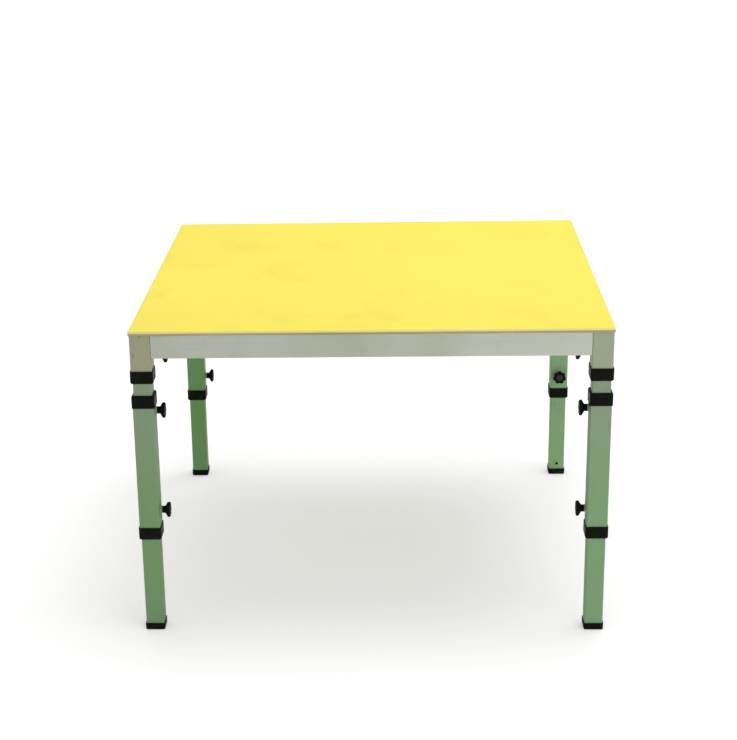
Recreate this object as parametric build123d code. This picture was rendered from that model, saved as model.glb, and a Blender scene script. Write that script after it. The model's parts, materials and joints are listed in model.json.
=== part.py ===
from build123d import *
import os

# Agility pause table: a square deck with a non-slip coating on an aluminium frame, on four
# telescopic legs of square tube, each clamped by three star knobs.
# Millimetres. The floor is z = 0, the Z axis runs through the deck's centre, the front faces -Y.

# Deck
deck_width = 900.0
deck_depth = 900.0
deck_corner_radius = 3.0
coating_thickness = 3.5
coating_edge_radius = 1.5
board_thickness = 4.5

# Square tubes: the posts and main tubes are the outer size, the couplers and foot tubes slide in them
tube_size = 40.0
tube_wall = 2.0
tube_corner_radius = 2.5
tube_play = 0.5

# Edge rails, cross braces and corner gussets under the board
rail_height = 44.0
rail_flange = 40.0
rail_wall = 3.0
brace_flange = 30.0
brace_height = 30.0
brace_wall = 3.0
brace_spacing = 300.0
gusset_leg = 115.0
gusset_thickness = 3.0
gusset_margin = 0.5

# Collars on the tube ends
collar_height = 24.5
collar_wall = 1.8
collar_lip = 4.5
collar_chamfer = 2.6
collar_corner_radius = 4.0
collar_fit = 0.1
lip_clearance = 0.3

# Lengths of tube that show between the collars, from the board down to the foot caps
post_exposed = 69.5
coupler_exposed = 23.5
main_exposed = 243.0
foot_exposed = 178.5

# Foot caps
cap_height = 14.0
cap_floor = 4.0
cap_wall = 1.5
cap_fit = 0.1
cap_edge_radius = 3.0
foot_hole_diameter = 6.5
foot_hole_rise = 13.0

# Star knobs, their studs and the bosses that the studs run in
knob_lobes = 7
knob_rail_clearance = 2.0
knob_head_thickness = 10.0
knob_back_height = 5.0
knob_lobe_radius = 2.6
knob_valley_radius = 4.5
knob_valley_depth = 2.2
knob_edge_radius = 1.8
knob_back_margin = 0.2
knob_hub_diameter = 14.0
knob_hub_length = 5.0
knob_cap_diameter = 15.0
knob_cap_recess = 0.6
knob_gap = 0.5
stud_diameter = 8.0
stud_in_knob = 9.0
stud_tip_chamfer = 0.8
stud_tip_gap = 0.3
thread_clearance = 0.05
bore_end_clearance = 0.3
boss_diameter = 15.0
boss_chamfer = 1.0
post_boss_length = 12.5
leg_boss_length = 4.0
boss_collar_gap = 2.0
post_knob_drop = 42.0
lower_knob_rise = 31.0
coupler_past_knob = 12.0
foot_tube_past_knob = 9.0

# Screws up into the board and rivets through the gussets
screw_diameter = 4.0
screw_into_board = 3.0
screw_head_diameter = 8.0
screw_head_height = 2.4
screw_recess_width = 1.2
screw_recess_length = 4.6
screw_recess_depth = 1.3
rail_screw_inset = 150.0
brace_screw_spacing = 300.0
rivet_diameter = 4.0
rivet_head_diameter = 7.5
rivet_head_height = 1.8
rivet_dome_radius = 1.5
rivet_first = 18.0
rivet_second = 52.0
fastener_clearance = 0.05

# Sizes that follow from those above
inner_tube_size = tube_size - 2 * (tube_wall + tube_play)
frame_inset = collar_wall
lower_collar_bottom = cap_height + foot_exposed
lower_collar_top = lower_collar_bottom + collar_height
upper_collar_bottom = lower_collar_top + main_exposed
upper_collar_top = upper_collar_bottom + collar_height
post_collar_bottom = upper_collar_top + coupler_exposed
post_collar_top = post_collar_bottom + collar_height
board_bottom = post_collar_top + post_exposed
board_top = board_bottom + board_thickness
frame_half_x = deck_width / 2 - frame_inset
frame_half_y = deck_depth / 2 - frame_inset
post_x = frame_half_x - tube_size / 2
post_y = frame_half_y - tube_size / 2
knob_radius = tube_size / 2 - rail_wall - knob_rail_clearance
post_knob_z = board_bottom - post_knob_drop
upper_knob_z = upper_collar_bottom - boss_diameter / 2 - boss_collar_gap
lower_knob_z = lower_collar_top + lower_knob_rise
flange_middle = rail_flange / 2 + rail_wall / 2

# Each corner of the table: side along X, side along Y, and the way that the knobs of its post and
# of its leg face, in degrees round Z. The back right leg is turned a quarter to face the front.
corners = {
    "front_left": (-1, -1, 0, 0),
    "front_right": (1, -1, 180, 180),
    "back_left": (-1, 1, 0, 0),
    "back_right": (1, 1, 180, -90),
}


def square_bar(size, corner_radius, bottom, top):
    """A solid square bar with rounded corners, centred on the Z axis."""
    return Pos(0, 0, bottom) * extrude(RectangleRounded(size, size, corner_radius), amount=top - bottom)


def square_tube(size, bottom, top):
    """A square tube of the common wall, centred on the Z axis."""
    inner_radius = tube_corner_radius - tube_wall
    hollow = square_bar(size - 2 * tube_wall, inner_radius, bottom, top)
    return square_bar(size, tube_corner_radius, bottom, top) - hollow


def rod_x(diameter, start, end, z):
    """A round rod along +X from start to end, at height z."""
    return Pos(start, 0, z) * Rot(0, 90, 0) * Cylinder(
        diameter / 2, end - start, align=(Align.CENTER, Align.CENTER, Align.MIN)
    )


def stud_hole(z):
    """The clearance hole that a stud takes through one tube wall and its boss, on the +X side."""
    diameter = stud_diameter + 2 * thread_clearance
    return rod_x(diameter, 0, tube_size, z)


def boss(length, z):
    """The threaded boss welded on a tube's +X face."""
    face = tube_size / 2
    body = rod_x(boss_diameter, face, face + length, z)
    rim = body.edges().filter_by(GeomType.CIRCLE).sort_by(Axis.X)[-1]
    return chamfer(rim, boss_chamfer) - stud_hole(z)


def drilled_tube(bottom, top, bosses):
    """An outer tube with its threaded bosses, each given as (length, z)."""
    tube = square_tube(tube_size, bottom, top)
    for length, z in bosses:
        tube -= stud_hole(z)
    return [tube] + [boss(length, z) for length, z in bosses]


def collar(lip_bottom, sleeve_up):
    """A collar whose lip ends at lip_bottom, with its sleeve above the lip or below it."""
    outer_size = tube_size + 2 * collar_wall
    body = square_bar(outer_size, collar_corner_radius, 0, collar_height)
    body = chamfer(body.faces().sort_by(Axis.Z)[0].edges(), collar_chamfer)
    sleeve_size = tube_size + 2 * collar_fit
    body -= square_bar(sleeve_size, tube_corner_radius + collar_fit, collar_lip, collar_height)
    opening_size = inner_tube_size + 2 * lip_clearance
    body -= square_bar(opening_size, tube_corner_radius + lip_clearance, 0, collar_lip)
    if not sleeve_up:
        body = Rot(180, 0, 0) * body
    return Pos(0, 0, lip_bottom) * body


def star_outline():
    """The knob's outline: a disc with round valleys, its lobes rounded off between them."""
    outline = Sketch() + Circle(knob_radius)
    valley_centre = knob_radius - knob_valley_depth + knob_valley_radius
    for valley in range(knob_lobes):
        outline -= Rot(0, 0, 360 / knob_lobes * valley) * Pos(valley_centre, 0) * Circle(knob_valley_radius)
    return fillet(outline.vertices(), knob_lobe_radius)


def knob(boss_length, z):
    """A star knob on the +X side, tapered behind to a hub, with a blind bore for its stud."""
    hub_start = tube_size / 2 + boss_length + knob_gap
    head_top = knob_hub_length + knob_head_thickness
    rim_start = knob_hub_length + knob_back_height
    hub_radius = knob_hub_diameter / 2
    full_radius = knob_radius + knob_back_margin
    low = (Align.CENTER, Align.CENTER, Align.MIN)
    head = Pos(0, 0, knob_hub_length) * extrude(star_outline(), amount=knob_head_thickness)
    head = fillet(head.faces().sort_by(Axis.Z)[-1].edges(), knob_edge_radius)
    taper = Pos(0, 0, knob_hub_length) * Cone(hub_radius, full_radius, knob_back_height, align=low)
    rim = Pos(0, 0, rim_start) * Cylinder(full_radius, head_top - rim_start, align=low)
    body = (head & (taper + rim)) + Cylinder(hub_radius, rim_start, align=low)
    recess = Cylinder(knob_cap_diameter / 2, knob_cap_recess, align=low)
    body -= Pos(0, 0, head_top - knob_cap_recess) * recess
    bore_radius = stud_diameter / 2 + thread_clearance
    body -= Cylinder(bore_radius, stud_in_knob + bore_end_clearance, align=low)
    return Pos(hub_start, 0, z) * Rot(0, 90, 0) * body


def stud(boss_length, z):
    """A threaded stud on the +X side, from just short of the inner tube into the knob's hub."""
    tip = inner_tube_size / 2 + stud_tip_gap
    end = tube_size / 2 + boss_length + knob_gap + stud_in_knob
    body = rod_x(stud_diameter, tip, end, z)
    return chamfer(body.edges().filter_by(GeomType.CIRCLE).sort_by(Axis.X)[0], stud_tip_chamfer)


def foot_tube():
    """The sliding foot tube, with the small hole near its foot on the knob side."""
    top = lower_knob_z + foot_tube_past_knob
    hole_z = cap_height + foot_hole_rise
    return square_tube(inner_tube_size, cap_floor, top) - rod_x(foot_hole_diameter, 0, tube_size, hole_z)


def foot_cap():
    """The cap over the foot tube's end, rounded where it meets the floor."""
    outer_size = inner_tube_size + 2 * (cap_fit + cap_wall)
    corner = tube_corner_radius + cap_fit + cap_wall
    body = square_bar(outer_size, corner, 0, cap_height)
    body = fillet(body.faces().sort_by(Axis.Z)[0].edges(), cap_edge_radius)
    socket_size = inner_tube_size + 2 * cap_fit
    return body - square_bar(socket_size, tube_corner_radius + cap_fit, cap_floor, cap_height)


def fastener_rod(diameter, bottom, top):
    """An upright round rod on the Z axis."""
    low = (Align.CENTER, Align.CENTER, Align.MIN)
    return Pos(0, 0, bottom) * Cylinder(diameter / 2, top - bottom, align=low)


def drill(solid, diameter, bottom, top, places):
    """The solid with an upright clearance hole at each place."""
    for x, y in places:
        solid -= Pos(x, y, 0) * fastener_rod(diameter + 2 * fastener_clearance, bottom, top)
    return solid


def mirrored(values):
    """Each value and its negative."""
    return [side * value for side in (-1, 1) for value in values]


# Where the fasteners go: screws along each rail and brace, rivets beside each post
flange_x = mirrored([frame_half_x - flange_middle])
flange_y = mirrored([frame_half_y - flange_middle])
screw_x = mirrored([deck_width / 2 - rail_screw_inset]) + [0]
screw_y = mirrored([deck_depth / 2 - rail_screw_inset]) + [0]
front_rear_screws = [(x, y) for y in flange_y for x in screw_x]
side_screws = [(x, y) for x in flange_x for y in screw_y]
brace_centres = mirrored([brace_spacing / 2])
brace_screws = [(x, y) for x in brace_centres for y in mirrored([brace_screw_spacing / 2])]
post_inner_x = frame_half_x - tube_size
post_inner_y = frame_half_y - tube_size
rivet_x = mirrored([post_inner_x - rivet_first, post_inner_x - rivet_second])
rivet_y = mirrored([post_inner_y - rivet_first, post_inner_y - rivet_second])
front_rear_rivets = [(x, y) for y in flange_y for x in rivet_x]
side_rivets = [(x, y) for x in flange_x for y in rivet_y]
rail_flange_bottom = board_bottom - rail_wall
brace_flange_bottom = board_bottom - brace_wall
gusset_bottom = rail_flange_bottom - gusset_thickness


def rail(length, half_span):
    """An angle rail along X on the -Y side, its web outside and its flange under the board."""
    web = Box(length, rail_wall, rail_height)
    flange = Box(length, rail_flange, rail_wall)
    web_centre = Pos(0, rail_wall / 2 - half_span, board_bottom - rail_height / 2)
    flange_centre = Pos(0, rail_flange / 2 - half_span, board_bottom - rail_wall / 2)
    return web_centre * web + flange_centre * flange


def drilled_rail(solid, screws, rivets):
    """The rail with the holes of the screws and rivets that pass through its flange."""
    solid = drill(solid, screw_diameter, rail_flange_bottom, board_bottom, screws)
    return drill(solid, rivet_diameter, rail_flange_bottom, board_bottom, rivets)


def brace(centre_x):
    """An angle brace from front to rear, its web coped to reach the rails' webs."""
    flange_length = deck_depth - 2 * (frame_inset + rail_flange)
    web_length = deck_depth - 2 * (frame_inset + rail_wall)
    bottom = board_bottom - brace_height
    coped_height = rail_flange_bottom - bottom
    web_x = (brace_wall - brace_flange) / 2
    flange = Pos(0, 0, brace_flange_bottom + brace_wall / 2) * Box(brace_flange, flange_length, brace_wall)
    web = Pos(web_x, 0, bottom + brace_height / 2) * Box(brace_wall, flange_length, brace_height)
    coped_web = Pos(web_x, 0, bottom + coped_height / 2) * Box(brace_wall, web_length, coped_height)
    solid = Pos(centre_x, 0, 0) * (flange + web + coped_web)
    return drill(solid, screw_diameter, brace_flange_bottom, board_bottom, brace_screws)


def gusset(side_x, side_y):
    """A corner plate under the flanges of two rails, notched round the post."""
    outer_x = frame_half_x - rail_wall - gusset_margin
    outer_y = frame_half_y - rail_wall - gusset_margin
    inner_x = post_inner_x - gusset_margin
    inner_y = post_inner_y - gusset_margin
    far_x = outer_x - gusset_leg
    far_y = outer_y - gusset_leg
    outline = [
        (inner_x, outer_y),
        (far_x, outer_y),
        (outer_x, far_y),
        (outer_x, inner_y),
        (inner_x, inner_y),
    ]
    points = [(side_x * x, side_y * y) for x, y in outline]
    plate = Pos(0, 0, gusset_bottom) * extrude(
        make_face(Polyline(*points, close=True)), amount=gusset_thickness
    )
    rivets = front_rear_rivets + side_rivets
    return drill(plate, rivet_diameter, gusset_bottom, rail_flange_bottom, rivets)


def screw(seat):
    """A pan-head screw whose head sits under the face at height seat."""
    head = fastener_rod(screw_head_diameter, seat - screw_head_height, seat)
    head = fillet(head.edges().filter_by(GeomType.CIRCLE).sort_by(Axis.Z)[0], screw_head_height / 2)
    slot = Box(screw_recess_length, screw_recess_width, 2 * screw_recess_depth)
    recess = Pos(0, 0, seat - screw_head_height) * (slot + Rot(0, 0, 90) * slot)
    return head + fastener_rod(screw_diameter, seat, board_bottom + screw_into_board) - recess


def rivet():
    """A domed rivet under a gusset, flush with the top of the rail's flange."""
    head = fastener_rod(rivet_head_diameter, gusset_bottom - rivet_head_height, gusset_bottom)
    head = fillet(head.edges().filter_by(GeomType.CIRCLE).sort_by(Axis.Z)[0], rivet_dome_radius)
    return head + fastener_rod(rivet_diameter, gusset_bottom, board_bottom)


def deck_plate(bottom, thickness):
    """A full-size deck layer with slightly rounded corners."""
    outline = RectangleRounded(deck_width, deck_depth, deck_corner_radius)
    return Pos(0, 0, bottom) * extrude(outline, amount=thickness)


def deck_board():
    """The board, with a blind hole under it for each screw."""
    places = front_rear_screws + side_screws + brace_screws
    hole_top = board_bottom + screw_into_board + bore_end_clearance
    return drill(deck_plate(board_bottom, board_thickness), screw_diameter, board_bottom, hole_top, places)


def deck_coating():
    """The non-slip coating, rounded over along its top edge."""
    sheet = deck_plate(board_top, coating_thickness)
    return fillet(sheet.faces().sort_by(Axis.Z)[-1].edges(), coating_edge_radius)


def build_nodes():
    """Every sub-part of the table, as a list of solids under its node's name."""
    nodes = {"deck_board": [deck_board()], "deck_coating": [deck_coating()]}

    front_length = 2 * post_inner_x
    side_length = 2 * post_inner_y
    front = rail(front_length, frame_half_y)
    side = rail(side_length, frame_half_x)
    nodes["front_rail"] = [drilled_rail(front, front_rear_screws, front_rear_rivets)]
    nodes["rear_rail"] = [drilled_rail(Rot(0, 0, 180) * front, front_rear_screws, front_rear_rivets)]
    nodes["left_rail"] = [drilled_rail(Rot(0, 0, -90) * side, side_screws, side_rivets)]
    nodes["right_rail"] = [drilled_rail(Rot(0, 0, 90) * side, side_screws, side_rivets)]
    nodes["cross_braces"] = [brace(x) for x in brace_centres]
    nodes["corner_gussets"] = [gusset(side_x, side_y) for side_x, side_y, _, _ in corners.values()]

    rail_screw = screw(rail_flange_bottom)
    brace_screw = screw(brace_flange_bottom)
    nodes["deck_screws"] = [Pos(x, y, 0) * rail_screw for x, y in front_rear_screws + side_screws]
    nodes["deck_screws"] += [Pos(x, y, 0) * brace_screw for x, y in brace_screws]
    nodes["gusset_rivets"] = [Pos(x, y, 0) * rivet() for x, y in front_rear_rivets + side_rivets]

    leg_bosses = [(leg_boss_length, upper_knob_z), (leg_boss_length, lower_knob_z)]
    post = drilled_tube(post_collar_bottom + collar_lip, board_bottom, [(post_boss_length, post_knob_z)])
    coupler = square_tube(
        inner_tube_size, upper_knob_z - coupler_past_knob, post_knob_z + coupler_past_knob
    )
    main = drilled_tube(lower_collar_bottom + collar_lip, upper_collar_top - collar_lip, leg_bosses)
    post_collar = collar(post_collar_bottom, True)
    main_collars = [collar(upper_collar_top, False), collar(lower_collar_bottom, True)]
    knobs = {
        "post": (post_boss_length, post_knob_z),
        "upper": (leg_boss_length, upper_knob_z),
        "lower": (leg_boss_length, lower_knob_z),
    }

    nodes["post_collars"] = []
    for corner, (side_x, side_y, post_turn, leg_turn) in corners.items():
        centre = Pos(side_x * post_x, side_y * post_y, 0)
        post_place = centre * Rot(0, 0, post_turn)
        leg_place = centre * Rot(0, 0, leg_turn)
        nodes[f"{corner}_post"] = [post_place * solid for solid in post]
        nodes["post_collars"].append(post_place * post_collar)
        nodes[f"{corner}_coupler_tube"] = [post_place * coupler]
        nodes[f"{corner}_main_tube"] = [leg_place * solid for solid in main]
        nodes[f"{corner}_main_collars"] = [leg_place * solid for solid in main_collars]
        nodes[f"{corner}_foot_tube"] = [leg_place * foot_tube()]
        nodes[f"{corner}_foot_cap"] = [leg_place * foot_cap()]
        for which, (boss_length, z) in knobs.items():
            place = post_place if which == "post" else leg_place
            nodes[f"{corner}_{which}_knob"] = [place * knob(boss_length, z)]
            nodes[f"{corner}_{which}_stud"] = [place * stud(boss_length, z)]
    return nodes


os.makedirs("parts", exist_ok=True)
for name, solids in build_nodes().items():
    export_step(Compound(solids) if len(solids) > 1 else solids[0], f"parts/{name}.step")
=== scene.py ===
import json
import math

import bmesh
import bpy
from bpy.props import FloatProperty, FloatVectorProperty, IntProperty, PointerProperty
from mathutils import Matrix, Vector

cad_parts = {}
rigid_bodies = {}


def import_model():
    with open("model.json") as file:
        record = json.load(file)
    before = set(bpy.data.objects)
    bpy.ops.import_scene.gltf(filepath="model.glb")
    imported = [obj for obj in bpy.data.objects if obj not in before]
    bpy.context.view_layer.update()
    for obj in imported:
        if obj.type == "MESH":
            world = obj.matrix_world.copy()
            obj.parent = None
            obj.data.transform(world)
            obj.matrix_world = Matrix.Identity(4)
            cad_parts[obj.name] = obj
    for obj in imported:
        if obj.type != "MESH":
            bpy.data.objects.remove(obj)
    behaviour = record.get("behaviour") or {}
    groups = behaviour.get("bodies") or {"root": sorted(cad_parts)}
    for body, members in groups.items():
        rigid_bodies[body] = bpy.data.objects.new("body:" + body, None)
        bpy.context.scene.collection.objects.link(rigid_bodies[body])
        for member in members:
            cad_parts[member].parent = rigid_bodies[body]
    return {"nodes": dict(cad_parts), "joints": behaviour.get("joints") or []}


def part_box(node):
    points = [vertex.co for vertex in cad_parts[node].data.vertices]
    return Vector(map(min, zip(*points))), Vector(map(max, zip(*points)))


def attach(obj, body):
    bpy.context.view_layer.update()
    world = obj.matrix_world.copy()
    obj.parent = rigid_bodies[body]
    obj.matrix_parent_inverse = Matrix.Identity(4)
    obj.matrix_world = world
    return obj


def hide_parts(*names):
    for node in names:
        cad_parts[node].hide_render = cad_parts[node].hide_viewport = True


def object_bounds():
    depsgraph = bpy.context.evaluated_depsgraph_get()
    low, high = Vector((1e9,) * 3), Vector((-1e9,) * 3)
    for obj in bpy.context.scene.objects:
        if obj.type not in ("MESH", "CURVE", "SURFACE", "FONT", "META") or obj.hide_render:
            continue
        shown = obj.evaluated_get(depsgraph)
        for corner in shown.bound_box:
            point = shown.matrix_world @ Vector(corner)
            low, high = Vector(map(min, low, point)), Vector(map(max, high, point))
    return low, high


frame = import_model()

bl_info = {
    "name": "Agility Pause Table",
    "version": (1, 0, 0),
    "blender": (4, 5, 0),
    "location": "View3D > Sidebar > Pause Table",
    "description": "Finishes and details for an agility pause table with telescopic legs",
    "category": "Object",
}

cad_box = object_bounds()
joints = {joint["name"]: joint for joint in frame["joints"]}
corner_names = ("front_left", "front_right", "back_left", "back_right")
knob_names = [f"{corner}_{which}" for corner in corner_names for which in ("post", "upper", "lower")]

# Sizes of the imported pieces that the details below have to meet, in metres
rail_web = 0.003
tube_half = 0.020
boss_radius = 0.0075
stud_radius = 0.004
knob_recess_radius = 0.0075
knob_recess_depth = 0.0006

# Pitch of the board's plies, and the heights between which the legs turn greener with a painted reflection of
# a lawn, in metres
ply_pitch = 0.0024
lawn_reflection_full_below = 0.22
lawn_reflection_gone_above = 0.54

# Lines of the drawn aluminium in a metre, across its grain and along it
grain_across = 700.0
grain_along = 5.0

# Weld beads: sides, rows of points in a ripple, then row spacing and crest rise in weld radii
weld_sides = 12
rows_in_ripple = 4
weld_row_spacing = 0.45
boss_crest_rise = 0.14
rail_crest_rise = 0.15

# Stud threads: bare turns at each end, steps in a turn, then ridge height and chamfer in thread depths
thread_bare_turns = 1.2
thread_steps = 24
thread_ridge_height = 1.25
stud_chamfer = 0.8

# Colours of dirt, wear and welds, and of the dark spots at the nicks
dull_coating = (0.66, 0.70, 0.17)
grey_board = (0.36, 0.36, 0.24)
bare_aluminium = (0.56, 0.59, 0.52)
nick_dark_colour = (0.07, 0.08, 0.05)
scraped_plastic = (0.05, 0.055, 0.045)
rubbed_plastic = (0.025, 0.028, 0.022)
plastic_dust = (0.07, 0.075, 0.06)
yellowed_zinc = (0.50, 0.47, 0.38)
weld_metal = (0.55, 0.56, 0.53)
weld_soot = (0.24, 0.26, 0.21)

# Distances from the middle of the floor between which its far glow sets in, in metres
far_glow_start = 1.2
far_glow_full = 5.0

# Photograph's camera: pinhole place in metres, angles in degrees, lens and offsets in pixels, sensor in mm
photo_long_side = 740
focal_pixels = 1784.1
camera_place = (0.0536, -3.6127, 1.5233)
camera_yaw = -3.11
camera_pitch = 19.908
camera_roll = -1.337
centre_offset = (-60.0, 80.0)
sensor_width = 36.0

# Painted light: each corner's tint against the common colours, brightened or darkened for the light and shade
# that corner gets: its post, and its leg near the ground
post_painted_light = {
    "front_left": (1.0, 0.89, 0.84),
    "front_right": (0.93, 0.91, 0.94),
    "back_left": (0.93, 0.91, 0.90),
    "back_right": (0.93, 0.91, 0.90),
}
leg_painted_light = {
    "front_left": (1.03, 1.04, 1.02),
    "front_right": (1.18, 1.15, 1.26),
    "back_left": (0.86, 1.03, 0.78),
    "back_right": (1.40, 1.36, 1.44),
}


class PauseTableFinish(bpy.types.PropertyGroup):
    """Colours and wear of the table's surfaces."""

    coating_colour: FloatVectorProperty(
        name="Coating", description="Yellow of the non-slip coating", subtype="COLOR",
        default=(0.92, 0.78, 0.105),
    )
    # The paler edge is partly the cut coating's own colour and partly a painted highlight
    coating_edge_and_highlight_colour: FloatVectorProperty(
        name="Coating edge", description="Paler yellow of the coating's cut edge", subtype="COLOR",
        default=(0.98, 0.88, 0.34),
    )
    board_colour: FloatVectorProperty(
        name="Board", description="Tan of the board under the coating", subtype="COLOR",
        default=(0.52, 0.46, 0.27),
    )
    rail_colour: FloatVectorProperty(
        name="Rails", description="Mill-finish aluminium of the rails", subtype="COLOR",
        default=(0.455, 0.475, 0.405),
    )
    post_colour: FloatVectorProperty(
        name="Posts", description="Grey-green aluminium of the posts", subtype="COLOR",
        default=(0.385, 0.42, 0.285),
    )
    leg_colour: FloatVectorProperty(
        name="Legs", description="Sage-green aluminium of the leg tubes, near the top", subtype="COLOR",
        default=(0.268, 0.362, 0.226),
    )
    # Painted reflection: the green of a lawn reflected in the leg tubes near the ground
    leg_lawn_reflection_colour: FloatVectorProperty(
        name="Legs below", description="Greener tint of the leg tubes near the ground", subtype="COLOR",
        default=(0.187, 0.338, 0.150),
    )
    plastic_colour: FloatVectorProperty(
        name="Plastic", description="Black of the collars, caps and knobs", subtype="COLOR",
        default=(0.0036, 0.0044, 0.0028),
    )
    steel_colour: FloatVectorProperty(
        name="Steel", description="Zinc-plated studs and screws", subtype="COLOR", default=(0.55, 0.56, 0.54)
    )
    edge_rounding: FloatProperty(
        name="Edge rounding", description="Radius of the softened edges in the shading", unit="LENGTH",
        default=0.0008, min=0.0,
    )
    wear: FloatProperty(
        name="Wear", description="How strongly edges and faces are rubbed", subtype="FACTOR", default=0.5,
        min=0.0, max=1.0,
    )


class PauseTableDetail(bpy.types.PropertyGroup):
    """Sizes of the modelled details."""

    weld_radius: FloatProperty(
        name="Weld radius", description="Radius of the weld beads", unit="LENGTH", default=0.0014, min=0.0003
    )
    weld_ripples: IntProperty(
        name="Weld ripples", description="Ripples round one boss weld", default=26, min=8, max=60
    )
    thread_pitch: FloatProperty(
        name="Thread pitch", description="Rise of the stud thread in one turn", unit="LENGTH", default=0.00125
    )
    thread_depth: FloatProperty(
        name="Thread depth", description="Height of the stud's thread", unit="LENGTH", default=0.00067
    )


class PauseTableStage(bpy.types.PropertyGroup):
    """The floor, the lights and the white world."""

    floor_size: FloatProperty(
        name="Floor size", description="Side of the floor", unit="LENGTH", default=60.0
    )
    floor_glow: FloatProperty(
        name="Floor glow", description="Whiteness added to the floor for the camera alone", default=0.38
    )
    far_glow: FloatProperty(
        name="Far glow", description="Whiteness added to the floor far behind the table", default=0.45
    )
    world_strength: FloatProperty(
        name="World strength", description="Strength of the even light all round", default=0.52
    )
    key_power: FloatProperty(
        name="Key power", description="Power of the overhead soft light in watts", default=58.0
    )
    fill_power: FloatProperty(
        name="Fill power", description="Power of the front soft light in watts", default=26.0
    )


def deselect_all():
    """Nothing stays selected, so that the next operator acts on its own piece alone."""
    if bpy.context.object and bpy.context.object.mode != "OBJECT":
        bpy.ops.object.mode_set(mode="OBJECT")
    for thing in bpy.context.view_layer.objects:
        thing.select_set(False)


def activate(piece):
    """The piece alone is selected and active."""
    deselect_all()
    piece.select_set(True)
    bpy.context.view_layer.objects.active = piece


def bake_place(piece):
    """The piece's place goes into its mesh, and its object sits at the origin."""
    activate(piece)
    bpy.ops.object.transform_apply(location=True, rotation=True, scale=True)


def place_along(piece, start, axis):
    """The piece, modelled along +Z from the origin, stands at start along axis, with that in its mesh."""
    turn = Vector((0, 0, 1)).rotation_difference(Vector(axis)).to_matrix().to_4x4()
    piece.matrix_world = Matrix.Translation(Vector(start)) @ turn
    bake_place(piece)


def copy_piece(piece, name):
    """A copy with a mesh of its own."""
    twin = piece.copy()
    twin.data = piece.data.copy()
    twin.name = name
    twin.data.name = name
    bpy.context.scene.collection.objects.link(twin)
    return twin


def post_centre():
    """How far the posts' axes stand from the middle along X and along Y."""
    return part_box("right_rail")[1].x - tube_half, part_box("rear_rail")[1].y - tube_half


def finish_piece(piece, body, material):
    """Material and body of a new piece."""
    piece.data.materials.clear()
    piece.data.materials.append(material)
    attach(piece, body)


def add_node(tree, kind, values=None, **settings):
    """A shader node with its settings and the values of its unlinked sockets."""
    node = tree.nodes.new(kind)
    for name, value in settings.items():
        setattr(node, name, value)
    for socket, value in (values or {}).items():
        node.inputs[socket].default_value = value
    return node


def new_group(name, inputs, outputs):
    """A shader node group with named float or vector sockets, and its two end nodes."""
    kinds = {"float": "NodeSocketFloat", "vector": "NodeSocketVector"}
    group = bpy.data.node_groups.new(name, "ShaderNodeTree")
    for socket_name, kind, default in inputs:
        socket = group.interface.new_socket(socket_name, in_out="INPUT", socket_type=kinds[kind])
        if default is not None:
            socket.default_value = default
    for socket_name, kind in outputs:
        group.interface.new_socket(socket_name, in_out="OUTPUT", socket_type=kinds[kind])
    return group, group.nodes.new("NodeGroupInput"), group.nodes.new("NodeGroupOutput")


def math_node(tree, operation, first, second=0.0, clamp=False):
    """A maths node fed by sockets or plain numbers; gives its output socket."""
    node = add_node(tree, "ShaderNodeMath", operation=operation, use_clamp=clamp)
    for index, value in enumerate((first, second)):
        if isinstance(value, (int, float)):
            node.inputs[index].default_value = value
        else:
            tree.links.new(value, node.inputs[index])
    return node.outputs[0]


def ramp(tree, value, low, high):
    """The value stretched from low..high to 0..1 and clamped, with soft ends."""
    node = add_node(tree, "ShaderNodeMapRange", interpolation_type="SMOOTHSTEP")
    node.inputs["From Min"].default_value = low
    node.inputs["From Max"].default_value = high
    tree.links.new(value, node.inputs["Value"])
    return node.outputs["Result"]


def noise(tree, vector, scale, detail=4.0, roughness=0.55, distortion=0.0):
    """Noise at so many cells a metre; gives its value socket."""
    node = add_node(
        tree, "ShaderNodeTexNoise",
        {"Scale": scale, "Detail": detail, "Roughness": roughness, "Distortion": distortion},
    )
    tree.links.new(vector, node.inputs["Vector"])
    return node.outputs["Fac"]


def mapping(tree, vector, scale, turn=(0, 0, 0)):
    """The vector scaled, and turned in degrees."""
    node = add_node(tree, "ShaderNodeMapping")
    node.inputs["Scale"].default_value = scale
    node.inputs["Rotation"].default_value = [math.radians(angle) for angle in turn]
    tree.links.new(vector, node.inputs["Vector"])
    return node.outputs["Vector"]


def coordinates(tree, vector):
    """The X, Y and Z sockets of a vector."""
    node = add_node(tree, "ShaderNodeSeparateXYZ")
    tree.links.new(vector, node.inputs[0])
    return node.outputs


def mix_colour(tree, factor, first, second):
    """Two colours mixed; each is a socket or a plain colour, and the factor is a socket."""
    node = add_node(tree, "ShaderNodeMix", data_type="RGBA")
    tree.links.new(factor, node.inputs[0])
    for socket, value in ((node.inputs[6], first), (node.inputs[7], second)):
        if isinstance(value, bpy.types.NodeSocket):
            tree.links.new(value, socket)
        else:
            socket.default_value = (*value, 1.0)
    return node.outputs[2]


def spot(tree, vector, centre, radius):
    """A soft round mask about a point in metres."""
    away = add_node(tree, "ShaderNodeVectorMath", operation="DISTANCE")
    tree.links.new(vector, away.inputs[0])
    away.inputs[1].default_value = centre
    return math_node(tree, "SUBTRACT", 1.0, ramp(tree, away.outputs["Value"], radius * 0.5, radius))


def tinted(colour, tint):
    """A plain colour with each of its parts scaled."""
    return tuple(part * factor for part, factor in zip(colour, tint))


def shade(colour, factor):
    """A plain colour made darker or lighter."""
    return tuple(min(1.0, part * factor) for part in colour)


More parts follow.
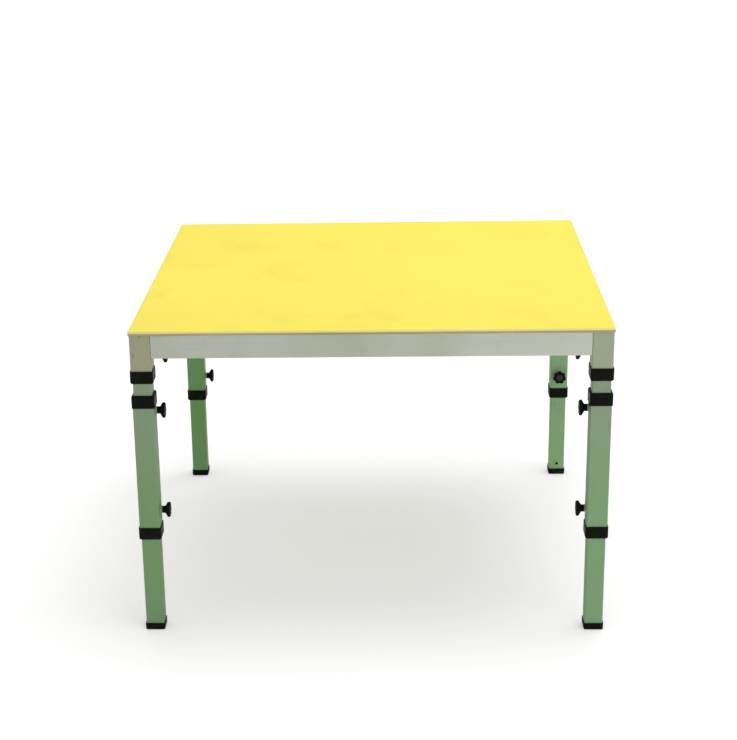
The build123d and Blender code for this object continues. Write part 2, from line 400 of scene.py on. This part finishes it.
def make_edge_group():
    """Soft edges: a rounded normal, and a mask of the edges that hands and ground rub."""
    group, start, end = new_group(
        "soft_edges", [("Radius", "float", 0.001)], [("Normal", "vector"), ("Edge", "float")]
    )
    bevel = add_node(group, "ShaderNodeBevel", samples=6)
    geometry = add_node(group, "ShaderNodeNewGeometry")
    likeness = add_node(group, "ShaderNodeVectorMath", operation="DOT_PRODUCT")
    group.links.new(start.outputs["Radius"], bevel.inputs["Radius"])
    group.links.new(bevel.outputs["Normal"], likeness.inputs[0])
    group.links.new(geometry.outputs["Normal"], likeness.inputs[1])
    turned = math_node(group, "SUBTRACT", 1.0, likeness.outputs["Value"], clamp=True)
    group.links.new(bevel.outputs["Normal"], end.inputs["Normal"])
    group.links.new(ramp(group, turned, 0.0, 0.22), end.inputs["Edge"])
    return group


def make_grain_group():
    """Extrusion lines along one axis: the stretched vector comes in, shade and height go out."""
    group, start, end = new_group(
        "drawn_grain", [("Vector", "vector", None), ("Fineness", "float", 1.0)],
        [("Shade", "float"), ("Height", "float")],
    )
    scaled = add_node(group, "ShaderNodeVectorMath", operation="SCALE")
    group.links.new(start.outputs["Vector"], scaled.inputs[0])
    group.links.new(start.outputs["Fineness"], scaled.inputs["Scale"])
    fine = noise(group, scaled.outputs[0], 1.0, 3.0, 0.6)
    broad = noise(group, scaled.outputs[0], 0.16, 2.0, 0.5)
    fine_share = math_node(group, "MULTIPLY", fine, 0.6)
    broad_share = math_node(group, "MULTIPLY", broad, 0.4)
    both = math_node(group, "ADD", fine_share, broad_share)
    group.links.new(ramp(group, both, 0.3, 0.7), end.inputs["Shade"])
    group.links.new(fine, end.inputs["Height"])
    return group


def make_scuff_group():
    """Thin scratches and rubbed patches, as one mask."""
    group, start, end = new_group(
        "scuffs", [("Vector", "vector", None), ("Scale", "float", 30.0), ("Amount", "float", 0.5)],
        [("Mask", "float")],
    )
    masks = []
    for turn, spread in ((23.0, 1.0), (-41.0, 1.7)):
        across = mapping(group, start.outputs["Vector"], scale=(1.0, 0.06, 1.0), turn=(turn, turn, turn))
        lines = add_node(group, "ShaderNodeTexNoise", {"Detail": 2.0, "Roughness": 0.5})
        group.links.new(across, lines.inputs["Vector"])
        fineness = math_node(group, "MULTIPLY", start.outputs["Scale"], 4.0 * spread)
        group.links.new(fineness, lines.inputs["Scale"])
        middle = math_node(group, "ABSOLUTE", math_node(group, "SUBTRACT", lines.outputs["Fac"], 0.5))
        masks.append(math_node(group, "SUBTRACT", 1.0, ramp(group, middle, 0.0, 0.012)))
    patches = add_node(group, "ShaderNodeTexNoise", {"Detail": 3.0, "Roughness": 0.6})
    group.links.new(start.outputs["Vector"], patches.inputs["Vector"])
    group.links.new(start.outputs["Scale"], patches.inputs["Scale"])
    where = ramp(group, patches.outputs["Fac"], 0.52, 0.72)
    strokes = math_node(group, "MULTIPLY", math_node(group, "MAXIMUM", masks[0], masks[1]), where)
    total = math_node(group, "MULTIPLY", strokes, start.outputs["Amount"], clamp=True)
    group.links.new(total, end.inputs["Mask"])
    return group


def new_material(name):
    """An empty node material with its shader; gives the material, its tree and the shader node."""
    material = bpy.data.materials.new(name)
    material.use_nodes = True
    tree = material.node_tree
    shader = tree.nodes["Principled BSDF"]
    return material, tree, shader


def object_vector(tree):
    """The Object coordinate socket."""
    return add_node(tree, "ShaderNodeTexCoord").outputs["Object"]


def group_node(tree, group, values=None, links=None):
    """A placed node group with plain values and links on its inputs."""
    node = add_node(tree, "ShaderNodeGroup", node_tree=group)
    for socket, value in (values or {}).items():
        node.inputs[socket].default_value = value
    for socket, source in (links or {}).items():
        tree.links.new(source, node.inputs[socket])
    return node


def bump(tree, height, normal, strength, distance):
    """A bump over a normal; gives the normal socket."""
    node = add_node(tree, "ShaderNodeBump", {"Strength": strength, "Distance": distance})
    tree.links.new(height, node.inputs["Height"])
    if normal is not None:
        tree.links.new(normal, node.inputs["Normal"])
    return node.outputs["Normal"]


def feed(tree, shader, **sockets):
    """Sockets linked to the shader's inputs by name, with underscores for spaces."""
    for name, source in sockets.items():
        tree.links.new(source, shader.inputs[name.replace("_", " ")])


def coating_material(finish):
    """Yellow non-slip coating: fine granules, faint stains, duller borders and a paler cut edge, partly its
    own colour and partly a painted highlight on the side faces.
    """
    material, tree, shader = new_material("yellow_coating")
    place = object_vector(tree)
    yellow = finish.coating_colour
    stains = ramp(tree, noise(tree, place, 7.0, 5.0, 0.62, 0.6), 0.50, 0.72)
    cloud = ramp(tree, noise(tree, place, 2.2, 3.0, 0.5), 0.35, 0.68)
    grit = noise(tree, place, 900.0, 2.0, 0.5)
    cells = add_node(tree, "ShaderNodeTexVoronoi", {"Scale": 520.0, "Randomness": 1.0})
    tree.links.new(place, cells.inputs["Vector"])
    colour = mix_colour(tree, cloud, yellow, shade(yellow, 1.03))
    stained = math_node(tree, "MULTIPLY", stains, 0.55)
    colour = mix_colour(tree, stained, colour, tinted(yellow, (0.93, 0.90, 0.75)))
    specks = math_node(tree, "MULTIPLY", ramp(tree, grit, 0.58, 0.75), 0.18)
    colour = mix_colour(tree, specks, colour, shade(yellow, 0.78))
    spread = coordinates(tree, place)
    reach_x = math_node(tree, "ABSOLUTE", spread["X"])
    reach_y = math_node(tree, "ABSOLUTE", spread["Y"])
    reach = math_node(tree, "MAXIMUM", reach_x, reach_y)
    deck_half = cad_box[1].x
    border = math_node(tree, "MULTIPLY", ramp(tree, reach, deck_half - 0.007, deck_half - 0.001), 0.35)
    colour = mix_colour(tree, border, colour, dull_coating)
    # Side faces turn paler: partly the cut edge's own colour, partly a painted highlight
    facing = coordinates(tree, add_node(tree, "ShaderNodeNewGeometry").outputs["Normal"])
    pale_edge_and_highlight = math_node(tree, "SUBTRACT", 1.0, ramp(tree, facing["Z"], 0.25, 0.9))
    colour = mix_colour(tree, pale_edge_and_highlight, colour, finish.coating_edge_and_highlight_colour)
    rough = math_node(tree, "ADD", math_node(tree, "MULTIPLY", stains, -0.12), 0.78)
    granules = math_node(tree, "ADD", math_node(tree, "MULTIPLY", cells.outputs["Distance"], 0.6), grit)
    normal = bump(tree, granules, None, 0.35, 0.0006)
    feed(tree, shader, Base_Color=colour, Roughness=rough, Normal=normal)
    shader.inputs["Specular IOR Level"].default_value = 0.3
    return material


def board_material(finish):
    """Thin plywood: plies along its edge, long grain on its faces."""
    material, tree, shader = new_material("board_edge")
    place = object_vector(tree)
    wood = finish.board_colour
    height = coordinates(tree, place)["Z"]
    plies = math_node(tree, "SINE", math_node(tree, "MULTIPLY", height, 2 * math.pi / ply_pitch))
    grain = noise(tree, mapping(tree, place, scale=(6.0, 160.0, 400.0)), 1.0, 5.0, 0.65, 0.4)
    patches = noise(tree, place, 9.0, 3.0, 0.6)
    colour = mix_colour(tree, ramp(tree, grain, 0.32, 0.7), shade(wood, 0.78), shade(wood, 1.18))
    dark_plies = math_node(tree, "MULTIPLY", ramp(tree, plies, -0.2, 0.6), 0.35)
    colour = mix_colour(tree, dark_plies, colour, shade(wood, 0.62))
    greyed = math_node(tree, "MULTIPLY", ramp(tree, patches, 0.5, 0.75), 0.3)
    colour = mix_colour(tree, greyed, colour, grey_board)
    normal = bump(tree, grain, None, 0.3, 0.0004)
    feed(tree, shader, Base_Color=colour, Normal=normal)
    shader.inputs["Roughness"].default_value = 0.72
    return material


def aluminium_material(
    name, finish, groups, colour, along, cloud_colour, cloud_scale, metallic, roughness,
    lawn_reflection_colour=None, marks=(),
):
    """Drawn aluminium: lines along one axis, slow clouds of a second tint, scuffs and bright edges.

    A painted reflection colour, the green of a lawn, takes over towards the ground, and marks are dark nicks
    given as (centre, radius).
    """
    material, tree, shader = new_material(name)
    place = object_vector(tree)
    stretch = [grain_across] * 3
    stretch["XYZ".index(along)] = grain_along
    lengthwise = mapping(tree, place, scale=stretch)
    grain = group_node(tree, groups["drawn_grain"], {"Fineness": 1.0}, {"Vector": lengthwise})
    scuffs = group_node(tree, groups["scuffs"], {"Scale": 22.0, "Amount": finish.wear}, {"Vector": place})
    edges = group_node(tree, groups["soft_edges"], {"Radius": finish.edge_rounding})
    cloud = ramp(tree, noise(tree, place, cloud_scale, 3.0, 0.55, 0.3), 0.38, 0.66)
    base = mix_colour(tree, grain.outputs["Shade"], shade(colour, 0.93), shade(colour, 1.06))
    base = mix_colour(tree, cloud, base, cloud_colour)
    if lawn_reflection_colour:
        # Painted reflection of a lawn: the tubes turn greener towards the ground
        height = coordinates(tree, place)["Z"]
        low = math_node(tree, "SUBTRACT", 1.0, ramp(tree, height, lawn_reflection_full_below, lawn_reflection_gone_above))
        base = mix_colour(tree, low, base, lawn_reflection_colour)
    smudge = ramp(tree, noise(tree, place, 26.0, 5.0, 0.65), 0.55, 0.78)
    base = mix_colour(tree, math_node(tree, "MULTIPLY", smudge, 0.22), base, shade(colour, 0.72))
    scraped = math_node(tree, "MULTIPLY", scuffs.outputs["Mask"], 0.5)
    base = mix_colour(tree, scraped, base, shade(colour, 1.35))
    rubbed = math_node(tree, "MULTIPLY", edges.outputs["Edge"], 0.45 * finish.wear)
    base = mix_colour(tree, rubbed, base, bare_aluminium)
    if marks:
        ragged = ramp(tree, noise(tree, place, 850.0, 3.0, 0.7), 0.36, 0.56)
        for centre, radius in marks:
            nick = math_node(tree, "MULTIPLY", spot(tree, place, centre, radius), ragged)
            base = mix_colour(tree, math_node(tree, "MULTIPLY", nick, 0.8), base, nick_dark_colour)
    rough = math_node(
        tree, "ADD", math_node(tree, "MULTIPLY", grain.outputs["Shade"], 0.10),
        math_node(tree, "ADD", math_node(tree, "MULTIPLY", smudge, 0.12), roughness),
    )
    normal = bump(tree, grain.outputs["Height"], edges.outputs["Normal"], 0.10, 0.0003)
    feed(tree, shader, Base_Color=base, Roughness=rough, Normal=normal)
    shader.inputs["Metallic"].default_value = metallic
    return material


def plastic_material(name, finish, groups, roughness, dust):
    """Black moulded plastic: fine spark texture, lighter rubbed edges and a little dust."""
    material, tree, shader = new_material(name)
    place = object_vector(tree)
    fine = noise(tree, place, 1600.0, 2.0, 0.6)
    edges = group_node(tree, groups["soft_edges"], {"Radius": finish.edge_rounding})
    scuffs = group_node(tree, groups["scuffs"], {"Scale": 40.0, "Amount": finish.wear}, {"Vector": place})
    patches = ramp(tree, noise(tree, place, 34.0, 4.0, 0.6), 0.45, 0.8)
    colour = mix_colour(tree, patches, finish.plastic_colour, shade(finish.plastic_colour, 1.8))
    scraped = math_node(tree, "MULTIPLY", scuffs.outputs["Mask"], 0.3)
    colour = mix_colour(tree, scraped, colour, scraped_plastic)
    rubbed = math_node(tree, "MULTIPLY", edges.outputs["Edge"], 0.5 * finish.wear)
    colour = mix_colour(tree, rubbed, colour, rubbed_plastic)
    dusty = math_node(tree, "MULTIPLY", ramp(tree, noise(tree, place, 90.0, 3.0), 0.5, 0.8), dust)
    colour = mix_colour(tree, dusty, colour, plastic_dust)
    rough = math_node(tree, "ADD", math_node(tree, "MULTIPLY", patches, 0.15), roughness)
    normal = bump(tree, fine, edges.outputs["Normal"], 0.22, 0.0002)
    feed(tree, shader, Base_Color=colour, Roughness=rough, Normal=normal)
    shader.inputs["Specular IOR Level"].default_value = 0.06
    return material


def steel_material(finish, groups):
    """Zinc-plated steel: cloudy, slightly yellowed plating."""
    material, tree, shader = new_material("zinc_steel")
    place = object_vector(tree)
    cloud = noise(tree, place, 120.0, 4.0, 0.6)
    edges = group_node(tree, groups["soft_edges"], {"Radius": 0.0004})
    colour = mix_colour(tree, ramp(tree, cloud, 0.35, 0.7), finish.steel_colour, yellowed_zinc)
    rough = math_node(tree, "ADD", math_node(tree, "MULTIPLY", cloud, 0.2), 0.28)
    normal = bump(tree, cloud, edges.outputs["Normal"], 0.08, 0.0002)
    feed(tree, shader, Base_Color=colour, Roughness=rough, Normal=normal)
    shader.inputs["Metallic"].default_value = 1.0
    return material


def weld_material():
    """Aluminium weld bead: bright metal clouded with grey soot."""
    material, tree, shader = new_material("weld_bead")
    place = object_vector(tree)
    soot = ramp(tree, noise(tree, place, 260.0, 4.0, 0.65), 0.42, 0.66)
    colour = mix_colour(tree, soot, weld_metal, weld_soot)
    rough = math_node(tree, "ADD", math_node(tree, "MULTIPLY", soot, 0.25), 0.32)
    normal = bump(tree, noise(tree, place, 900.0, 3.0), None, 0.2, 0.0003)
    feed(tree, shader, Base_Color=colour, Roughness=rough, Normal=normal)
    shader.inputs["Metallic"].default_value = 0.85
    return material


def dress(names, material):
    """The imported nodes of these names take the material."""
    for name in names:
        mesh = frame["nodes"][name].data
        mesh.materials.clear()
        mesh.materials.append(material)


def shared_groups():
    """The node groups that the materials share, made once."""
    makers = {"soft_edges": make_edge_group, "drawn_grain": make_grain_group, "scuffs": make_scuff_group}
    return {name: bpy.data.node_groups.get(name) or maker() for name, maker in makers.items()}


class PAUSETABLE_OT_deck(bpy.types.Operator):
    """Finish the deck: its coating and its board"""

    bl_idname = "pause_table.deck"
    bl_label = "Finish Deck"

    def execute(self, context):
        finish = context.scene.pause_table_finish
        dress(["deck_coating"], coating_material(finish))
        dress(["deck_board"], board_material(finish))
        return {"FINISHED"}


class PAUSETABLE_OT_frame(bpy.types.Operator):
    """Finish the frame: rails, braces, gussets, rivets and screws"""

    bl_idname = "pause_table.frame"
    bl_label = "Finish Frame"

    def execute(self, context):
        finish = context.scene.pause_table_finish
        groups = shared_groups()
        rail = finish.rail_colour
        # On the rails the slow clouds are partly random tone and partly painted reflection: broad light and
        # dark bands
        mill_finish = {
            "cloud_colour": tinted(rail, (0.86, 0.88, 0.80)),
            "cloud_scale": 3.2,
            "metallic": 0.8,
            "roughness": 0.38,
        }
        across = aluminium_material("rail_aluminium_across", finish, groups, rail, "X", **mill_finish)
        along = aluminium_material("rail_aluminium_along", finish, groups, rail, "Y", **mill_finish)
        dress(["front_rail", "rear_rail"], across)
        dress(["left_rail", "right_rail", "cross_braces"], along)
        dress(["corner_gussets", "gusset_rivets"], along)
        dress(["deck_screws"], steel_material(finish, groups))
        return {"FINISHED"}


class PAUSETABLE_OT_legs(bpy.types.Operator):
    """Finish the posts and the leg tubes"""

    bl_idname = "pause_table.legs"
    bl_label = "Finish Legs"

    def execute(self, context):
        finish = context.scene.pause_table_finish
        groups = shared_groups()
        leg = finish.leg_colour
        post_x, post_y = post_centre()
        face_y = -post_y - tube_half
        nicks = (
            ((-post_x - 0.0135, face_y, 0.566), 0.0022),
            ((-post_x - 0.0135, face_y, 0.561), 0.0018),
            ((-post_x, face_y, 0.6005), 0.0028),
        )
        # Painted light: each corner's post colour and leg colour near the ground are scaled for how lit or
        # shaded that corner is
        for corner in corner_names:
            post = tinted(finish.post_colour, post_painted_light[corner])
            post_material = aluminium_material(
                f"{corner}_post_aluminium", finish, groups, post, "Z",
                cloud_colour=tinted(post, (0.94, 1.03, 1.06)), cloud_scale=9.0, metallic=0.45, roughness=0.52,
                marks=nicks if corner == "front_left" else (),
            )
            # The leg tubes carry a painted lawn reflection near the ground
            leg_material = aluminium_material(
                f"{corner}_leg_aluminium", finish, groups, leg, "Z",
                cloud_colour=tinted(leg, (1.12, 1.04, 1.15)), cloud_scale=7.0, metallic=0.3, roughness=0.58,
                lawn_reflection_colour=tinted(finish.leg_lawn_reflection_colour, leg_painted_light[corner]),
            )
            dress([f"{corner}_post"], post_material)
            dress([f"{corner}_{tube}" for tube in ("coupler_tube", "main_tube", "foot_tube")], leg_material)
        return {"FINISHED"}


class PAUSETABLE_OT_plastics(bpy.types.Operator):
    """Finish the collars, the foot caps and the knobs"""

    bl_idname = "pause_table.plastics"
    bl_label = "Finish Plastics"

    def execute(self, context):
        finish = context.scene.pause_table_finish
        groups = shared_groups()
        collars = plastic_material("collar_plastic", finish, groups, roughness=0.46, dust=0.10)
        caps = plastic_material("cap_plastic", finish, groups, roughness=0.55, dust=0.35)
        knobs = plastic_material("knob_plastic", finish, groups, roughness=0.48, dust=0.05)
        dress(["post_collars"] + [f"{corner}_main_collars" for corner in corner_names], collars)
        dress([f"{corner}_foot_cap" for corner in corner_names], caps)
        dress([f"{name}_knob" for name in knob_names], knobs)
        return {"FINISHED"}


def add_cylinder(vertices, radius, depth):
    """A closed cylinder along +Z from the origin, alone in the selection."""
    deselect_all()
    bpy.ops.mesh.primitive_cylinder_add(
        vertices=vertices, radius=radius, depth=depth, location=(0, 0, depth / 2)
    )
    bpy.ops.object.transform_apply(location=True)
    return bpy.context.object


def select_parts(piece, kind, test):
    """In edit mode, selects the piece's verts, edges or faces that pass the test, and nothing else."""
    bpy.ops.mesh.select_all(action="DESELECT")
    mesh = bmesh.from_edit_mesh(piece.data)
    for part in getattr(mesh, kind):
        part.select_set(test(part))
    mesh.select_flush_mode()
    bmesh.update_edit_mesh(piece.data)


def boss_weld(detail):
    """One rippled ring of weld, on the XY plane round the Z axis, as a mesh to copy."""
    rows = detail.weld_ripples * rows_in_ripple
    deselect_all()
    bpy.ops.mesh.primitive_torus_add(
        major_radius=boss_radius, minor_radius=detail.weld_radius, major_segments=rows,
        minor_segments=weld_sides,
    )
    ring = bpy.context.object

    def on_crest(vertex):
        turn = math.atan2(vertex.co.y, vertex.co.x) / (2 * math.pi)
        return round(turn * rows) % rows_in_ripple == 0

    bpy.ops.object.mode_set(mode="EDIT")
    select_parts(ring, "verts", on_crest)
    bpy.ops.transform.shrink_fatten(value=boss_crest_rise * detail.weld_radius)
    bpy.ops.object.mode_set(mode="OBJECT")
    bpy.ops.object.shade_smooth()
    return ring


def rail_weld(detail, length):
    """One straight rippled bead along +Z from the origin."""
    rows = round(length / (detail.weld_radius * weld_row_spacing))
    bead = add_cylinder(weld_sides, detail.weld_radius, length)

    def on_crest(vertex):
        row = round(vertex.co.z / length * rows)
        return 0 < row < rows and row % rows_in_ripple == rows_in_ripple // 2

    bpy.ops.object.mode_set(mode="EDIT")
    for row in range(1, rows):
        bpy.ops.mesh.select_all(action="SELECT")
        bpy.ops.mesh.bisect(plane_co=(0, 0, length * row / rows), plane_no=(0, 0, 1))
    select_parts(bead, "verts", on_crest)
    bpy.ops.transform.shrink_fatten(value=rail_crest_rise * detail.weld_radius)
    bpy.ops.object.mode_set(mode="OBJECT")
    bpy.ops.object.shade_smooth_by_angle(angle=math.radians(60))
    return bead


class PAUSETABLE_OT_welds(bpy.types.Operator):
    """Weld beads round the bosses and where the rails meet the posts"""

    bl_idname = "pause_table.welds"
    bl_label = "Add Weld Beads"

    def execute(self, context):
        detail = context.scene.pause_table_detail
        material = weld_material()
        pattern = boss_weld(detail)
        for name in knob_names:
            joint = joints[f"{name}_knob_turn"]
            feed_joint = joints[f"{name}_stud_feed"]
            ring = copy_piece(pattern, f"{name}_boss_weld")
            place_along(ring, joint["pos_m"], joint["axis"])
            finish_piece(ring, feed_joint["parent"], material)
        bpy.data.objects.remove(pattern)
        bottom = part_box("front_rail")[0].z
        straight = rail_weld(detail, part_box("corner_gussets")[0].z - bottom)
        post_x, post_y = post_centre()
        for corner in corner_names:
            side_x = 1 if "right" in corner else -1
            side_y = 1 if "back" in corner else -1
            spots = {
                "front_bead": (side_x * (post_x - tube_half), side_y * (post_y + tube_half - rail_web)),
                "side_bead": (side_x * (post_x + tube_half - rail_web), side_y * (post_y - tube_half)),
            }
            for label, (x, y) in spots.items():
                bead = copy_piece(straight, f"{corner}_{label}")
                place_along(bead, (x, y, bottom), (0, 0, 1))
                finish_piece(bead, "root", material)
        bpy.data.objects.remove(straight)
        return {"FINISHED"}


def threaded_rod(detail, length):
    """A threaded rod along +Z from the origin, with chamfered ends."""
    rod = add_cylinder(40, stud_radius - detail.thread_depth, length)
    bpy.ops.object.mode_set(mode="EDIT")
    select_parts(rod, "edges", lambda edge: abs(edge.verts[0].co.z - edge.verts[1].co.z) < 1e-6)
    bpy.ops.mesh.bevel(offset=detail.thread_depth * stud_chamfer, segments=1, affect="EDGES")
    deselect_all()
    # The ridge is a triangle, as high as one and a half radii of the circle through its corners
    profile_radius = detail.thread_depth * thread_ridge_height * 2 / 3
    bpy.ops.mesh.primitive_circle_add(vertices=3, radius=profile_radius, rotation=(0, 0, -math.pi / 2))
    thread = bpy.context.object
    bpy.ops.object.transform_apply(rotation=True)
    thread.rotation_euler.x = math.pi / 2
    thread.location.x = stud_radius - profile_radius
    bpy.ops.object.transform_apply(location=True, rotation=True)
    bare_end = thread_bare_turns * detail.thread_pitch
    turns = (length - 2 * bare_end) / detail.thread_pitch
    screw = thread.modifiers.new("helix", "SCREW")
    screw.angle = 2 * math.pi * turns
    screw.screw_offset = detail.thread_pitch * turns
    screw.steps = screw.render_steps = round(thread_steps * turns)
    bpy.ops.object.modifier_apply(modifier="helix")
    thread.location.z = bare_end
    bpy.ops.object.transform_apply(location=True)
    bpy.ops.object.mode_set(mode="EDIT")
    bpy.ops.mesh.select_all(action="SELECT")
    bpy.ops.mesh.fill_holes(sides=3)
    bpy.ops.mesh.select_all(action="SELECT")
    bpy.ops.mesh.normals_make_consistent(inside=False)
    bpy.ops.object.mode_set(mode="OBJECT")
    rod.select_set(True)
    bpy.context.view_layer.objects.active = rod
    bpy.ops.object.join()
    bpy.ops.object.shade_smooth_by_angle(angle=math.radians(35))
    return rod


class PAUSETABLE_OT_studs(bpy.types.Operator):
    """Threaded studs in place of the plain ones"""

    bl_idname = "pause_table.studs"
    bl_label = "Add Threaded Studs"

    def execute(self, context):
        detail = context.scene.pause_table_detail
        material = bpy.data.materials.get("zinc_steel")
        if material is None:
            raise RuntimeError("finish the frame before the studs")
        patterns = {}
        for name in knob_names:
            axis = Vector(joints[f"{name}_stud_feed"]["axis"])
            low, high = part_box(f"{name}_stud")
            length = abs((high - low).dot(axis))
            key = round(length, 5)
            if key not in patterns:
                patterns[key] = threaded_rod(detail, length)
            middle = (low + high) / 2
            rod = copy_piece(patterns[key], f"{name}_threaded_stud")
            place_along(rod, middle - axis * length / 2, axis)
            finish_piece(rod, f"{name}_stud", material)
            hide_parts(f"{name}_stud")
        for pattern in patterns.values():
            bpy.data.objects.remove(pattern)
        return {"FINISHED"}


def knob_disc():
    """The round cap pressed into a knob's face, along +Z from the recess floor."""
    radius = knob_recess_radius * 0.95
    depth = knob_recess_depth * 1.6
    rim_rounding = depth * 0.35
    rim_width = radius * 0.28
    groove_width = radius * 0.06
    groove_depth = depth * 0.3
    centre_slope = radius * 0.2
    centre_rise = depth * 0.1
    disc = add_cylinder(48, radius, depth)
    bpy.ops.object.mode_set(mode="EDIT")
    bpy.ops.mesh.select_mode(type="FACE")
    select_parts(disc, "faces", lambda face: face.normal.z > 0.99)
    bpy.ops.mesh.bevel(offset=rim_rounding, segments=3, affect="EDGES")
    select_parts(disc, "faces", lambda face: face.normal.z > 0.99)
    bpy.ops.mesh.inset(thickness=rim_width, depth=0.0)
    bpy.ops.mesh.inset(thickness=groove_width, depth=-groove_depth)
    bpy.ops.mesh.inset(thickness=centre_slope, depth=centre_rise)
    bpy.ops.mesh.select_mode(type="VERT")
    bpy.ops.object.mode_set(mode="OBJECT")
    bpy.ops.object.shade_smooth_by_angle(angle=math.radians(30))
    return disc


class PAUSETABLE_OT_knob_caps(bpy.types.Operator):
    """Round caps in the knobs' faces"""

    bl_idname = "pause_table.knob_caps"
    bl_label = "Add Knob Caps"

    def execute(self, context):
        material = bpy.data.materials.get("knob_plastic")
        if material is None:
            raise RuntimeError("finish the plastics before the knob caps")
        pattern = knob_disc()
        for name in knob_names:
            axis = Vector(joints[f"{name}_knob_turn"]["axis"])
            low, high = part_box(f"{name}_knob")
            middle = (low + high) / 2
            reach = abs((high - low).dot(axis)) / 2 - knob_recess_depth
            disc = copy_piece(pattern, f"{name}_knob_cap")
            place_along(disc, middle + axis * reach, axis)
            finish_piece(disc, f"{name}_knob", material)
        bpy.data.objects.remove(pattern)
        return {"FINISHED"}


def soft_light(name, power, size, place, target):
    """A square soft light that looks at a point."""
    deselect_all()
    bpy.ops.object.light_add(type="AREA", location=place)
    light = bpy.context.object
    light.name = name
    light.data.energy = power
    light.data.size = size
    light.rotation_euler = (Vector(target) - Vector(place)).to_track_quat("-Z", "Y").to_euler()


def make_camera():
    """The camera of the photograph, with its small lens offsets."""
    yaw, pitch, roll = (math.radians(angle) for angle in (camera_yaw, camera_pitch, camera_roll))
    forward = Vector((math.sin(yaw) * math.cos(pitch), math.cos(yaw) * math.cos(pitch), -math.sin(pitch)))
    level = Vector((math.cos(yaw), -math.sin(yaw), 0))
    above = level.cross(forward)
    right = level * math.cos(roll) + above * math.sin(roll)
    up = above * math.cos(roll) - level * math.sin(roll)
    deselect_all()
    bpy.ops.object.camera_add()
    camera = bpy.context.object
    turn = Matrix((right, up, -forward)).transposed().to_4x4()
    camera.matrix_world = Matrix.Translation(camera_place) @ turn
    camera.data.sensor_width = sensor_width
    camera.data.lens = focal_pixels * sensor_width / photo_long_side
    camera.data.shift_x = -centre_offset[0] / photo_long_side
    camera.data.shift_y = centre_offset[1] / photo_long_side
    bpy.context.scene.camera = camera


def floor_material(stage):
    """Pale floor: it keeps the table's shadow and looks white to the camera and in reflections."""
    material, tree, shader = new_material("studio_floor")
    shader.inputs["Base Color"].default_value = (0.82, 0.82, 0.82, 1.0)
    shader.inputs["Roughness"].default_value = 0.9
    shader.inputs["Specular IOR Level"].default_value = 0.1
    path = add_node(tree, "ShaderNodeLightPath")
    seen = math_node(tree, "MAXIMUM", path.outputs["Is Camera Ray"], path.outputs["Is Glossy Ray"])
    away = add_node(tree, "ShaderNodeVectorMath", operation="LENGTH")
    tree.links.new(object_vector(tree), away.inputs[0])
    farness = ramp(tree, away.outputs["Value"], far_glow_start, far_glow_full)
    far = math_node(tree, "MULTIPLY", farness, stage.far_glow)
    glow = math_node(tree, "MULTIPLY", seen, math_node(tree, "ADD", far, stage.floor_glow))
    tree.links.new(glow, shader.inputs["Emission Strength"])
    shader.inputs["Emission Color"].default_value = (1.0, 1.0, 1.0, 1.0)
    return material


class PAUSETABLE_OT_stage(bpy.types.Operator):
    """Pale floor, soft lights and the photograph's camera"""

    bl_idname = "pause_table.stage"
    bl_label = "Set Up Stage"

    def execute(self, context):
        stage = context.scene.pause_table_stage
        make_camera()
        deselect_all()
        bpy.ops.mesh.primitive_plane_add(size=stage.floor_size)
        floor = context.object
        floor.name = "studio_floor"
        floor.data.materials.append(floor_material(stage))
        world = context.scene.world or bpy.data.worlds.new("studio_world")
        context.scene.world = world
        world.use_nodes = True
        tree = world.node_tree
        background = tree.nodes["Background"]
        path = add_node(tree, "ShaderNodeLightPath")
        white = math_node(tree, "MAXIMUM", path.outputs["Is Camera Ray"], path.outputs["Is Transmission Ray"])
        extra = math_node(tree, "MULTIPLY", white, 1.0 - stage.world_strength)
        tree.links.new(math_node(tree, "ADD", extra, stage.world_strength), background.inputs["Strength"])
        background.inputs["Color"].default_value = (1.0, 1.0, 1.0, 1.0)
        soft_light("key_light", stage.key_power, size=2.6, place=(0.45, 0.25, 3.3), target=(0, 0, 0.4))
        soft_light("fill_light", stage.fill_power, size=2.2, place=(2.1, -3.3, 0.9), target=(0.1, 0, 0.3))
        context.scene.view_settings.view_transform = "Standard"
        return {"FINISHED"}


class PAUSETABLE_PT_panel(bpy.types.Panel):
    """The table's steps and settings"""

    bl_idname = "PAUSETABLE_PT_panel"
    bl_label = "Pause Table"
    bl_space_type = "VIEW_3D"
    bl_region_type = "UI"
    bl_category = "Pause Table"

    def draw(self, context):
        for operator in steps:
            self.layout.operator(operator.bl_idname)
        for settings in settings_groups:
            group = getattr(context.scene, settings)
            box = self.layout.box()
            for name in group.__annotations__:
                box.prop(group, name)


settings_groups = {
    "pause_table_finish": PauseTableFinish,
    "pause_table_detail": PauseTableDetail,
    "pause_table_stage": PauseTableStage,
}
steps = (
    PAUSETABLE_OT_stage,
    PAUSETABLE_OT_deck,
    PAUSETABLE_OT_frame,
    PAUSETABLE_OT_legs,
    PAUSETABLE_OT_plastics,
    PAUSETABLE_OT_welds,
    PAUSETABLE_OT_studs,
    PAUSETABLE_OT_knob_caps,
)


def register():
    """Registers the classes and hangs the settings on the scene."""
    for cls in (*settings_groups.values(), *steps, PAUSETABLE_PT_panel):
        bpy.utils.register_class(cls)
    for name, cls in settings_groups.items():
        setattr(bpy.types.Scene, name, PointerProperty(type=cls))


def unregister():
    """Takes the settings and classes away again."""
    for name in settings_groups:
        delattr(bpy.types.Scene, name)
    for cls in reversed((*settings_groups.values(), *steps, PAUSETABLE_PT_panel)):
        bpy.utils.unregister_class(cls)


def main():
    """Builds the stage and the table."""
    register()
    bpy.ops.pause_table.stage()
    bpy.ops.pause_table.deck()
    bpy.ops.pause_table.frame()
    bpy.ops.pause_table.legs()
    bpy.ops.pause_table.plastics()
    bpy.ops.pause_table.welds()
    bpy.ops.pause_table.studs()
    bpy.ops.pause_table.knob_caps()


if __name__ == "__main__":
    main()
